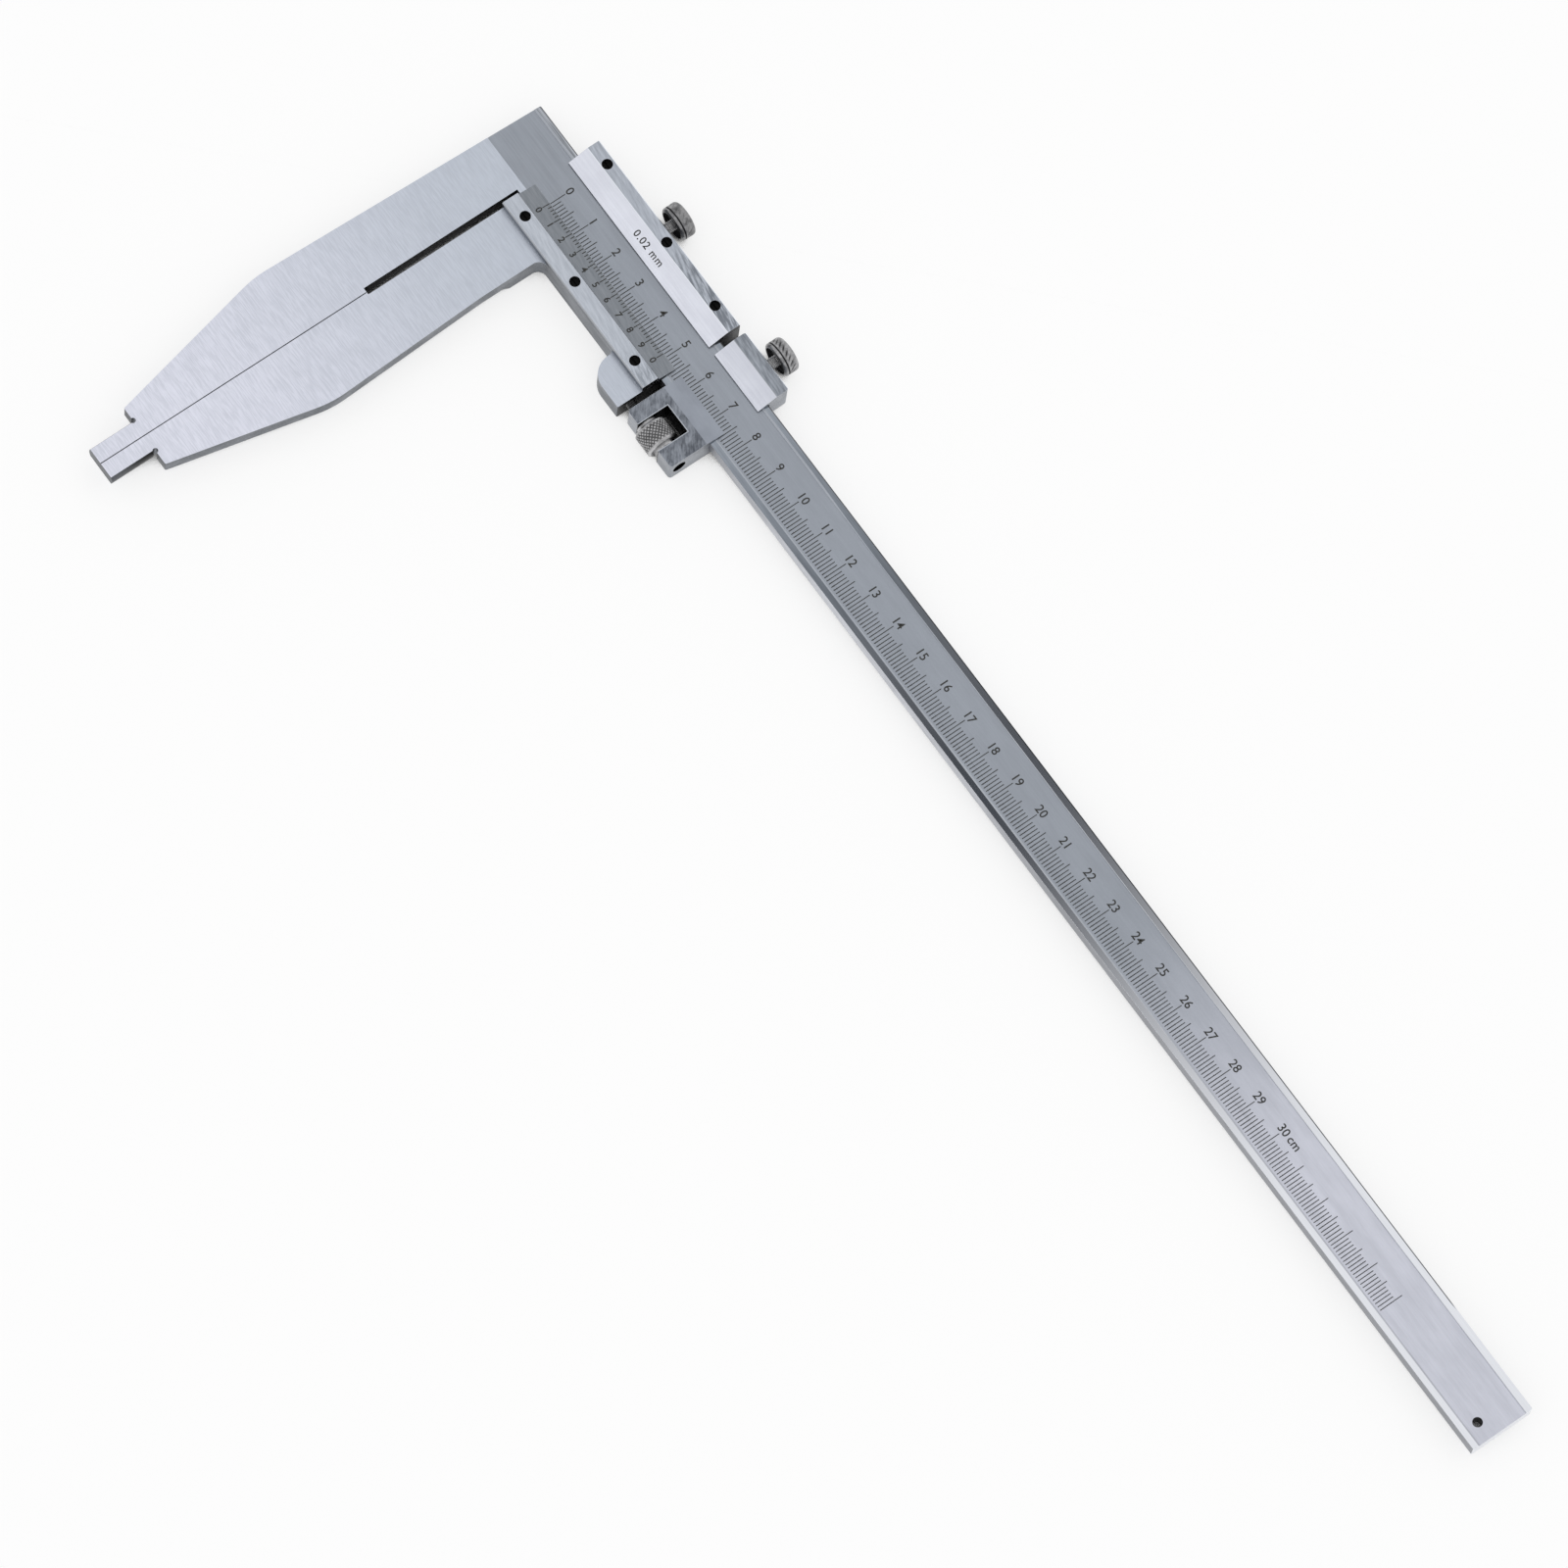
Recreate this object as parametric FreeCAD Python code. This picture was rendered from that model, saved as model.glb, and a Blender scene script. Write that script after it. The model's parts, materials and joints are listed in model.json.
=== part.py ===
import FreeCAD, Part
import math
import os

# Long jaw vernier caliper with fine adjustment, reading to 350 mm, with its jaws closed.
# X runs along the beam from the plane where the jaws meet, Y is 0 on the beam's lower edge
# with the jaws towards -Y, and Z is 0 on the beam's back with the scale on the +Z side.
# All sizes are in millimetres.

Vector = FreeCAD.Vector

# Beam
beam_height = 18.0
beam_thick = 4.3
beam_end = 397.5
head_top = 16.5
guide_strip = 2.0
scale_recess = 0.15
hang_hole_d = 2.5
hang_hole_inset = 5.0
hang_hole_y = 5.0
beam_corner = 0.4

# Jaws and the stepped nibs that measure inside a bore
jaw_drop = 114.4
nib_length = 13.1
nib_pair_d = 10.0
nib_notch_r = 0.7
relief_drop = 47.0
relief_fixed = 1.3
relief_moving = 0.7
fixed_shoulder_x = 19.2
fixed_shoulder_drop = 68.0
fixed_neck = 8.8
moving_root_x = 17.3
moving_root_drop = 24.3
moving_shoulder_x = 19.2
moving_shoulder_drop = 70.9
moving_neck = 9.2
shoulder_blend = 30.0
root_blend = 120.0
root_fillet = 2.5

# Slider frame
slider_end = 60.6
back_thick = 2.3
run_gap = 0.05
wall_low = 5.8
wall_high = 5.9
edge_gap = 0.3
jaw_step_drop = 17.5
lug_start = 48.0
lug_drop = 13.3
lug_corner = 6.0
lug_inner_corner = 1.0
edge_break = 0.3

# Guide plates and vernier plate
plate_thick = 2.2
plate_start = 0.2
plate_lip = 0.35
plate_flat = 3.7
bevel_overlap = 3.3
rail_low_start = 0.8
vernier_overlap = 4.5
vernier_foot = 0.6
vernier_thick = 1.05
vernier_lip = 0.3
seat_slack = 0.02

# Plate screws
plate_screw_d = 1.6
plate_screw_head_d = 2.7
plate_screw_head = 0.8
plate_screw_depth = 3.6
screw_clearance = 0.05
counterbore_d = 2.9
counterbore_depth = 1.7
screw_slot_w = 0.4
screw_slot_depth = 0.4
upper_screw_x = (6.6, 32.2, 52.9)
upper_screw_inset = 2.2
lower_screw_x = (6.4, 27.8, 53.5)
lower_screw_inset = 2.7

# Clamps: thumb screw, shoe and leaf spring
clamp_thread_d = 3.0
clamp_head_d = 9.6
clamp_head = 4.2
clamp_head_round = 0.8
clamp_cup_wall = 1.0
clamp_cup_depth = 0.9
clamp_dish = 0.35
rim_flats = 3
clamp_neck = 2.7
clamp_fit = 0.05
shoe_d = 2.8
shoe_length = 1.6
slider_clamp_x = 28.0
spring_thick = 0.25
spring_width = 3.2
spring_bow = 0.5
spring_slack = 0.05
spring_end_gap = 0.4
pocket_side_gap = 0.2
slider_spring_length = 44.0
carriage_spring_length = 14.0
rest_gap = 0.02

# Fine adjustment carriage
carriage_gap = 2.4
carriage_length = 18.5
carriage_corner = 0.9
cage_drop = 12.1
cage_face = 1.1
lip_start = 1.0
window_start = 4.5
window_width = 8.5
window_drop = 3.0

# Fine adjustment screw, its pin and its nut
rod_d = 3.0
rod_drop = 9.3
rod_z = 2.0
rod_grip = 10.5
rod_end_inset = 4.0
rod_hole_d = 3.8
rod_fit = 0.02
thread_chamfer = 0.4
pin_d = 1.5
pin_inset = 5.5
pin_length = 6.2
nut_d = 9.0
nut_boss_d = 6.0
nut_boss = 1.0
nut_chamfer = 0.5
nut_side_gap = 0.05
thread_fit = 0.05

# Places worked out from the sizes above
face_z = beam_thick + run_gap
back_z = -back_thick
top_z = face_z + plate_thick
wall_top = beam_height + edge_gap + wall_high
jaw_tip = jaw_drop + nib_length
mid_z = beam_thick / 2
clamp_seat = beam_height + spring_slack + spring_thick + rest_gap
clamp_top = wall_top + clamp_neck + clamp_head
pocket_top = beam_height + spring_slack + spring_thick + spring_bow + spring_slack
carriage_start = slider_end + carriage_gap
carriage_end = carriage_start + carriage_length
window_x = carriage_start + window_start
carriage_clamp_x = carriage_start + carriage_length / 2
vernier_top = face_z + vernier_thick
vernier_foot_y = -rail_low_start - vernier_foot


def box(x0, x1, y0, y1, z0, z1):
    return Part.makeBox(x1 - x0, y1 - y0, z1 - z0, Vector(x0, y0, z0))


def rounded_wire(corners):
    """A closed wire through corners given as (point, radius), with tangent arcs."""
    starts = []
    arcs = []
    count = len(corners)
    for i in range(count):
        point, radius = corners[i]
        before = (corners[i - 1][0] - point).normalize()
        after = (corners[(i + 1) % count][0] - point).normalize()
        if radius <= 0:
            starts.append((point, point))
            arcs.append(None)
            continue
        half = before.getAngle(after) / 2
        reach = radius / math.tan(half)
        middle = (before + after).normalize()
        centre = point + middle * (radius / math.sin(half))
        starts.append((point + before * reach, point + after * reach))
        arcs.append(centre - middle * radius)
    edges = []
    for i in range(count):
        arrive, leave = starts[i]
        if arcs[i] is not None:
            edges.append(Part.Arc(arrive, arcs[i], leave).toShape())
        edges.append(Part.LineSegment(leave, starts[(i + 1) % count][0]).toShape())
    return Part.Wire(edges)


def plate(corners, z0, z1):
    """A plate whose outline is given as (x, y) or (x, y, radius), from z0 to z1."""
    points = [(Vector(c[0], c[1], z0), c[2] if len(c) > 2 else 0) for c in corners]
    return Part.Face(rounded_wire(points)).extrude(Vector(0, 0, z1 - z0))


def bar(section, x0, x1):
    """A bar along X whose section is given as (y, z) points."""
    points = [(Vector(x0, y, z), 0) for y, z in section]
    return Part.Face(rounded_wire(points)).extrude(Vector(x1 - x0, 0, 0))


def turned(profile, base, axis):
    """A turned piece: profile is (distance along axis, radius) from one end to the other."""
    side = Vector(0, 0, 1)
    points = [base + axis * along + side * radius for along, radius in profile]
    closed = [base + axis * profile[0][0]] + points + [base + axis * profile[-1][0]]
    face = Part.Face(Part.makePolygon(closed + closed[:1]))
    return face.revolve(base, axis, 360)


def cylinder(diameter, length, base, axis):
    return Part.makeCylinder(diameter / 2, length, base, axis)


def nib(side):
    """Half of the inside measuring nib, on the side of the measuring plane given by -1 or 1."""
    start = Vector(0, -jaw_tip, mid_z)
    barrel = cylinder(nib_pair_d, nib_length + nib_notch_r, start, Vector(0, 1, 0))
    x0, x1 = sorted((0, side * nib_pair_d))
    return barrel.common(box(x0, x1, -jaw_tip, -jaw_drop + nib_notch_r, 0, beam_thick))


def nib_notch(side):
    """The round undercut where a nib meets the end of its jaw."""
    half_width = math.sqrt((nib_pair_d / 2) ** 2 - mid_z**2)
    base = Vector(side * (half_width + nib_notch_r / 2), -jaw_drop, -1)
    return cylinder(2 * nib_notch_r, beam_thick + 2, base, Vector(0, 0, 1))


def main_beam():
    """The beam and its fixed jaw, forged in one piece."""
    outline = [
        (-head_top, beam_height, beam_corner),
        (beam_end, beam_height, beam_corner),
        (beam_end, 0, beam_corner),
        (-relief_fixed, 0),
        (-relief_fixed, -relief_drop),
        (0, -relief_drop),
        (0, -jaw_drop),
        (-fixed_neck, -jaw_drop, beam_corner),
        (-fixed_shoulder_x, -fixed_shoulder_drop, shoulder_blend),
    ]
    body = plate(outline, 0, beam_thick).fuse(nib(-1))
    body = body.cut(nib_notch(-1))
    top = beam_height - guide_strip
    floor = beam_thick - scale_recess
    recess = box(-head_top - 5, beam_end + 1, guide_strip, top, floor, beam_thick + 1)
    hole_base = Vector(beam_end - hang_hole_inset, hang_hole_y, -1)
    hole = cylinder(hang_hole_d, beam_thick + 2, hole_base, Vector(0, 0, 1))
    return body.cut(recess).cut(hole).removeSplitter()


def slider_frame_outline():
    return [
        (relief_moving, wall_top),
        (slider_end, wall_top),
        (slider_end, -lug_drop, edge_break),
        (lug_start, -lug_drop, lug_corner),
        (lug_start, -wall_low, lug_inner_corner),
        (moving_root_x, -wall_low, root_fillet),
        (moving_root_x, -jaw_step_drop),
        (relief_moving, -jaw_step_drop),
    ]


def moving_jaw():
    outline = [
        (relief_moving, -run_gap),
        (moving_root_x, -run_gap),
        (moving_root_x, -moving_root_drop, root_blend),
        (moving_shoulder_x, -moving_shoulder_drop, shoulder_blend),
        (moving_neck, -jaw_drop, beam_corner),
        (0, -jaw_drop),
        (0, -relief_drop),
        (relief_moving, -relief_drop),
    ]
    jaw = plate(outline, 0, beam_thick).fuse(nib(1))
    return jaw.cut(nib_notch(1))


def jaw_step_ramp():
    """The sloping end of the thick root at the back of the moving jaw."""
    foot = -jaw_step_drop
    section = [(foot - 1, back_z - 1), (foot + back_thick, back_z - 1), (foot + back_thick, back_z)]
    section += [(foot, 0), (foot - 1, 0)]
    return bar(section, relief_moving - 1, moving_root_x + 1)


def beam_channel(x0, x1):
    """The space that the beam runs in, open to the front."""
    return box(x0 - 1, x1 + 1, -run_gap, beam_height + edge_gap, -run_gap, top_z + 1)


def spring_pocket(centre_x, length):
    half = length / 2 + spring_end_gap
    side = spring_width / 2 + pocket_side_gap
    return box(centre_x - half, centre_x + half, beam_height, pocket_top, mid_z - side, mid_z + side)


def clamp_bore(centre_x):
    base = Vector(centre_x, beam_height, mid_z)
    return cylinder(clamp_thread_d + 2 * clamp_fit, wall_top, base, Vector(0, 1, 0))


def screw_places(xs, y):
    return [Vector(x, y, face_z) for x in xs]


def upper_screw_places():
    return screw_places(upper_screw_x, wall_top - upper_screw_inset)


def lower_screw_places():
    return screw_places(lower_screw_x, -wall_low + lower_screw_inset)


def tapped_hole(place):
    base = place - Vector(0, 0, plate_screw_depth + plate_screw_d / 2)
    length = plate_screw_depth + plate_screw_d / 2 + 1
    return cylinder(plate_screw_d + 2 * seat_slack, length, base, Vector(0, 0, 1))


def slider_body():
    """The slider frame and its moving jaw, with the lug that carries the fine screw."""
    body = plate(slider_frame_outline(), back_z, face_z).cut(jaw_step_ramp())
    below_wall = box(relief_moving - 1, slider_end + 1, -jaw_tip, -wall_low, beam_thick, face_z + 1)
    body = body.cut(below_wall)
    body = body.cut(beam_channel(relief_moving, slider_end)).fuse(moving_jaw())
    body = body.cut(spring_pocket(slider_clamp_x, slider_spring_length))
    body = body.cut(clamp_bore(slider_clamp_x))
    for place in upper_screw_places() + lower_screw_places():
        body = body.cut(tapped_hole(place))
    rod_base = Vector(slider_end - rod_grip - rod_fit, -rod_drop, rod_z)
    body = body.cut(cylinder(rod_d + 2 * rod_fit, rod_grip + 1, rod_base, Vector(1, 0, 0)))
    pin_base = Vector(slider_end - pin_inset, -rod_drop, back_z - 1)
    pin_hole = cylinder(pin_d + 2 * rod_fit, pin_length + rod_fit + 1, pin_base, Vector(0, 0, 1))
    return body.cut(pin_hole).removeSplitter()


def guide_section():
    """Section of the upper guide: a flat, and a bevel down to a thin lip over the beam."""
    flat_edge = wall_top - plate_flat
    lip = beam_height - bevel_overlap
    return [
        (wall_top, face_z),
        (wall_top, top_z - edge_break),
        (wall_top - edge_break, top_z),
        (flat_edge, top_z),
        (lip, face_z + plate_lip),
        (lip, face_z),
    ]


def counterbored(body, places):
    for place in places:
        hole_d = plate_screw_d + 2 * screw_clearance
        body = body.cut(cylinder(hole_d, plate_thick + 2, place - Vector(0, 0, 1), Vector(0, 0, 1)))
        seat = place + Vector(0, 0, plate_thick - counterbore_depth)
        body = body.cut(cylinder(counterbore_d, counterbore_depth + 1, seat, Vector(0, 0, 1)))
    return body


def upper_guide_plate():
    return counterbored(bar(guide_section(), plate_start, slider_end), upper_screw_places())


def lower_guide_rail():
    """The rail on the slider's lower wall, rebated underneath for the vernier plate's foot."""
    section = [
        (-wall_low, face_z),
        (-wall_low, top_z - edge_break),
        (-wall_low + edge_break, top_z),
        (-rail_low_start - edge_break, top_z),
        (-rail_low_start, top_z - edge_break),
        (-rail_low_start, vernier_top + seat_slack),
        (vernier_foot_y - seat_slack, vernier_top + seat_slack),
        (vernier_foot_y - seat_slack, face_z),
    ]
    return counterbored(bar(section, plate_start, slider_end), lower_screw_places())


def vernier_plate():
    """The graduated plate: its foot lies under the rail and its face slopes to the scale."""
    section = [
        (vernier_foot_y, face_z),
        (vernier_foot_y, vernier_top),
        (-rail_low_start, vernier_top),
        (vernier_overlap, face_z + vernier_lip),
        (vernier_overlap, face_z),
    ]
    return bar(section, plate_start, slider_end)


def plate_screw(place):
    """A slotted cheese head screw, sunk in its counterbore."""
    seat = place + Vector(0, 0, plate_thick - counterbore_depth)
    shank = cylinder(plate_screw_d, plate_screw_depth + plate_thick - counterbore_depth,
                     place - Vector(0, 0, plate_screw_depth), Vector(0, 0, 1))
    screw = shank.fuse(cylinder(plate_screw_head_d, plate_screw_head, seat, Vector(0, 0, 1)))
    x, y, z = seat
    half = plate_screw_head_d
    slot = box(x - half, x + half, y - screw_slot_w / 2, y + screw_slot_w / 2,
               z + plate_screw_head - screw_slot_depth, z + plate_screw_head + 1)
    return screw.cut(slot)


def leaf_spring(centre_x, length):
    """A bowed strip: its middle lies on the beam's edge and its ends in the slider's pocket."""
    half = length / 2
    low = beam_height + spring_slack
    high = low + spring_bow
    z = mid_z - spring_width / 2
    under = [Vector(centre_x - half, high, z), Vector(centre_x, low, z), Vector(centre_x + half, high, z)]
    over = [p + Vector(0, spring_thick, 0) for p in under]
    edges = [
        Part.Arc(*under).toShape(),
        Part.LineSegment(under[2], over[2]).toShape(),
        Part.Arc(*reversed(over)).toShape(),
        Part.LineSegment(over[0], under[0]).toShape(),
    ]
    return Part.Face(Part.Wire(edges)).extrude(Vector(0, 0, spring_width))


def clamp_shoe(centre_x):
    base = Vector(centre_x, clamp_seat, mid_z)
    return cylinder(shoe_d, shoe_length, base, Vector(0, 1, 0))


def rim(radius, along, end):
    """A rounded rim of a turned head as short flats; end is -1 at its start and 1 at its far end."""
    steps = [math.pi / 2 * k / rim_flats for k in range(rim_flats + 1)]
    curve = [(along - end * clamp_head_round * (1 - math.sin(a)),
              radius - clamp_head_round * (1 - math.cos(a))) for a in steps]
    return curve if end > 0 else curve[::-1]


def clamp_screw(centre_x):
    """A thumb screw: shank, and a head with rounded rims, hollow underneath and dished on top."""
    start = clamp_seat + shoe_length + rest_gap
    head_start = clamp_top - clamp_head - start
    shank = clamp_thread_d / 2
    head_end = head_start + clamp_head
    head = clamp_head_d / 2
    cup = head - clamp_cup_wall
    profile = [(0, shank - thread_chamfer), (thread_chamfer, shank), (head_start + clamp_cup_depth, shank)]
    profile += [(head_start + clamp_cup_depth, cup), (head_start, cup)]
    profile += rim(head, head_start, -1) + rim(head, head_end, 1)
    profile += [(head_end, cup), (head_end - clamp_dish, cup)]
    return turned(profile, Vector(centre_x, start, mid_z), Vector(0, 1, 0))


def carriage_body():
    """The carriage that clamps to the beam and carries the nut in its cage."""
    section = guide_section()[1:] + [
        (beam_height + edge_gap, face_z),
        (beam_height + edge_gap, -run_gap),
        (-run_gap, -run_gap),
        (-run_gap, face_z),
        (vernier_overlap, face_z),
        (vernier_overlap, face_z + vernier_lip),
        (-lip_start, face_z + cage_face),
        (-cage_drop, face_z + cage_face),
        (-cage_drop, back_z),
        (wall_top, back_z),
    ]
    outline = [
        (carriage_start, wall_top, carriage_corner),
        (carriage_end, wall_top, carriage_corner),
        (carriage_end, -cage_drop, carriage_corner),
        (carriage_start, -cage_drop, carriage_corner),
    ]
    body = bar(section, carriage_start, carriage_end).common(plate(outline, back_z, top_z))
    window = box(window_x, window_x + window_width, -cage_drop - 1, -window_drop,
                 back_z - 1, top_z + 1)
    rod_base = Vector(carriage_start - 1, -rod_drop, rod_z)
    rod_hole = cylinder(rod_hole_d, carriage_length + 2, rod_base, Vector(1, 0, 0))
    body = body.cut(window).cut(rod_hole)
    body = body.cut(spring_pocket(carriage_clamp_x, carriage_spring_length))
    return body.cut(clamp_bore(carriage_clamp_x)).removeSplitter()


def fine_adjust_screw():
    """The threaded rod, pinned in the slider's lug and passing through the carriage."""
    length = carriage_end - rod_end_inset - (slider_end - rod_grip)
    radius = rod_d / 2
    profile = [(0, radius), (length - thread_chamfer, radius), (length, radius - thread_chamfer)]
    rod = turned(profile, Vector(slider_end - rod_grip, -rod_drop, rod_z), Vector(1, 0, 0))
    base = Vector(slider_end - pin_inset, -rod_drop, back_z - 1)
    return rod.cut(cylinder(pin_d + 2 * rod_fit, pin_length + rod_fit + 1, base, Vector(0, 0, 1)))


def fine_screw_pin():
    base = Vector(slider_end - pin_inset, -rod_drop, back_z)
    return cylinder(pin_d, pin_length, base, Vector(0, 0, 1))


def fine_adjust_nut():
    """The knurled nut, held lengthways by the cage."""
    length = window_width - 2 * nut_side_gap
    outer = nut_d / 2
    boss = nut_boss_d / 2
    profile = [
        (0, boss),
        (nut_boss, boss),
        (nut_boss, outer - nut_chamfer),
        (nut_boss + nut_chamfer, outer),
        (length - nut_boss - nut_chamfer, outer),
        (length - nut_boss, outer - nut_chamfer),
        (length - nut_boss, boss),
        (length, boss),
    ]
    base = Vector(window_x + nut_side_gap, -rod_drop, rod_z)
    nut = turned(profile, base, Vector(1, 0, 0))
    return nut.cut(cylinder(rod_d + 2 * thread_fit, length, base, Vector(1, 0, 0)))


def save(name, *solids):
    shape = solids[0] if len(solids) == 1 else Part.makeCompound(list(solids))
    for solid in shape.Solids:
        print(name, "valid" if solid.isValid() else "BAD", round(solid.Volume, 2))
    shape.exportStep("parts/" + name + ".step")


os.makedirs("parts", exist_ok=True)
save("main_beam", main_beam())
save("slider_body", slider_body())
save("upper_guide_plate", upper_guide_plate())
save("lower_guide_rail", lower_guide_rail())
save("vernier_plate", vernier_plate())
save("upper_plate_screws", *[plate_screw(p) for p in upper_screw_places()])
save("lower_rail_screws", *[plate_screw(p) for p in lower_screw_places()])
save("slider_leaf_spring", leaf_spring(slider_clamp_x, slider_spring_length))
save("slider_clamp_shoe", clamp_shoe(slider_clamp_x))
save("slider_clamp_screw", clamp_screw(slider_clamp_x))
save("carriage_body", carriage_body())
save("carriage_leaf_spring", leaf_spring(carriage_clamp_x, carriage_spring_length))
save("carriage_clamp_shoe", clamp_shoe(carriage_clamp_x))
save("carriage_clamp_screw", clamp_screw(carriage_clamp_x))
save("fine_adjust_screw", fine_adjust_screw())
save("fine_screw_pin", fine_screw_pin())
save("fine_adjust_nut", fine_adjust_nut())
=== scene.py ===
import json
import math

import bmesh
import bpy
from mathutils import Matrix, Vector


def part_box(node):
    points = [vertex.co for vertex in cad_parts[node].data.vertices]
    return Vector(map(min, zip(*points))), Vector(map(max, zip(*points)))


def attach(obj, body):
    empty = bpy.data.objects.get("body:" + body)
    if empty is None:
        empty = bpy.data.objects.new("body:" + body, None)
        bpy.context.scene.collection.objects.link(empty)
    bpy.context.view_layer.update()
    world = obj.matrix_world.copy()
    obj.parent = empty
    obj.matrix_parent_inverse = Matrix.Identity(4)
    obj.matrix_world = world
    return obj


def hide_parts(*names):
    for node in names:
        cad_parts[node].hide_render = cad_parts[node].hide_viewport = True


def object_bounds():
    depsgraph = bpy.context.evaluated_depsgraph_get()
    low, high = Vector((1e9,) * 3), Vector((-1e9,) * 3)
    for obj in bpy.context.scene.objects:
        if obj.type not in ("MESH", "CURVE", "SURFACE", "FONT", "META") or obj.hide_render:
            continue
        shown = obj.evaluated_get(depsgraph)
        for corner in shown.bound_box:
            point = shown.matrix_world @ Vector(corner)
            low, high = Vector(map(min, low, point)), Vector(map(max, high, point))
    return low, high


# Long jaw vernier caliper: the finish of every surface, the graduations, knurls, threads and broken edges.
# Lengths in the settings are in millimetres, and scaled once to metres where a mesh is made.
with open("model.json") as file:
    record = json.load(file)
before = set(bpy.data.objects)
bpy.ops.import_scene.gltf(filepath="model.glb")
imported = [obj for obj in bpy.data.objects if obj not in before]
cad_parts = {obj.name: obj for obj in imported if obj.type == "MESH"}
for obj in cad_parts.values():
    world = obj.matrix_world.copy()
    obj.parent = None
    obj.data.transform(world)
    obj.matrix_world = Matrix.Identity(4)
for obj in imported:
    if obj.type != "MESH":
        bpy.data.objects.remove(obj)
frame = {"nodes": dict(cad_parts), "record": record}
cadLow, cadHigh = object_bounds()
nodes = frame["nodes"]
bodyOfNode = {n: b for b, names in frame["record"]["behaviour"]["bodies"].items() for n in names}
mm = 0.001
sameVertex = 0.0005  # vertices nearer than this, in millimetres, are joined
sameThreadVertex = 0.0008
sameFace = 0.5  # faces that turn by less than this, in degrees, are joined
print("frame loaded with", len(nodes), "nodes")


def boxMm(node):
    low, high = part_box(node)
    return low / mm, high / mm


# Camera
cameraSettings = {
    "aim": (164.0, -36.8, 2.0),
    "azimuth": 44.363,
    "elevation": 70.58,
    "roll": 10.316,
    "distance": 2517.0,
    "lens": 234.74,
    "sensor": 36.0,
    "clip": (50.0, 50000.0),
}


def makeCamera(settings):
    azimuth = math.radians(settings["azimuth"])
    elevation = math.radians(settings["elevation"])
    back = Vector((
        math.cos(elevation) * math.sin(azimuth),
        -math.cos(elevation) * math.cos(azimuth),
        math.sin(elevation),
    ))
    right = Vector((math.cos(azimuth), math.sin(azimuth), 0))
    turn = Matrix.Rotation(math.radians(settings["roll"]), 3, back)
    right = turn @ right
    up = back.cross(right)
    place = (Vector(settings["aim"]) + back * settings["distance"]) * mm
    data = bpy.data.cameras.new("camera")
    data.lens = settings["lens"]
    data.sensor_width = settings["sensor"]
    data.clip_start, data.clip_end = (distance * mm for distance in settings["clip"])
    camera = bpy.data.objects.new("camera", data)
    camera.matrix_world = Matrix.Translation(place) @ Matrix((right, up, back)).transposed().to_4x4()
    bpy.context.scene.collection.objects.link(camera)
    bpy.context.scene.camera = camera


makeCamera(cameraSettings)


# Shader maths
class Wire:  # a socket that arithmetic can be written with
    def __init__(self, tree, socket):
        self.tree = tree
        self.socket = socket

    def join(self, operation, first, second):
        node = self.tree.nodes.new("ShaderNodeMath")
        node.operation = operation
        for place, value in enumerate((first, second)):
            if isinstance(value, Wire):
                self.tree.links.new(value.socket, node.inputs[place])
            else:
                node.inputs[place].default_value = value
        return Wire(self.tree, node.outputs[0])

    def __add__(self, other):
        return self.join("ADD", self, other)

    def __radd__(self, other):
        return self.join("ADD", other, self)

    def __sub__(self, other):
        return self.join("SUBTRACT", self, other)

    def __rsub__(self, other):
        return self.join("SUBTRACT", other, self)

    def __neg__(self):
        return self.join("MULTIPLY", self, -1)

    def __mul__(self, other):
        return self.join("MULTIPLY", self, other)

    def __rmul__(self, other):
        return self.join("MULTIPLY", other, self)

    def __abs__(self):
        return self.join("ABSOLUTE", self, 0)

    def larger(self, other):
        return self.join("MAXIMUM", self, other)


class Shader:  # a node tree that nodes are added to
    def __init__(self, tree):
        self.tree = tree

    def add(self, kind, settings, values, out=0):
        node = self.tree.nodes.new(kind)
        for name, setting in settings.items():
            setattr(node, name, setting)
        for name, value in values.items():
            if isinstance(value, Wire):
                self.tree.links.new(value.socket, node.inputs[name])
            else:
                node.inputs[name].default_value = value
        return Wire(self.tree, node.outputs[out])

    def step(self, value, low, high):  # 0 below low, 1 above high, smooth between
        settings = {"interpolation_type": "SMOOTHSTEP"}
        return self.add("ShaderNodeMapRange", settings, {"Value": value, "From Min": low, "From Max": high})

    def mix(self, factor, first, second):
        settings = {"data_type": "RGBA"}
        values = {0: factor, 6: opaque(first), 7: opaque(second)}
        return self.add("ShaderNodeMix", settings, values, out=2)

    def split(self, vector):
        node = self.add("ShaderNodeSeparateXYZ", {}, {"Vector": vector}).socket.node
        return [Wire(self.tree, socket) for socket in node.outputs]


def opaque(colour):
    return colour if isinstance(colour, Wire) else (*colour, 1)


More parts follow.
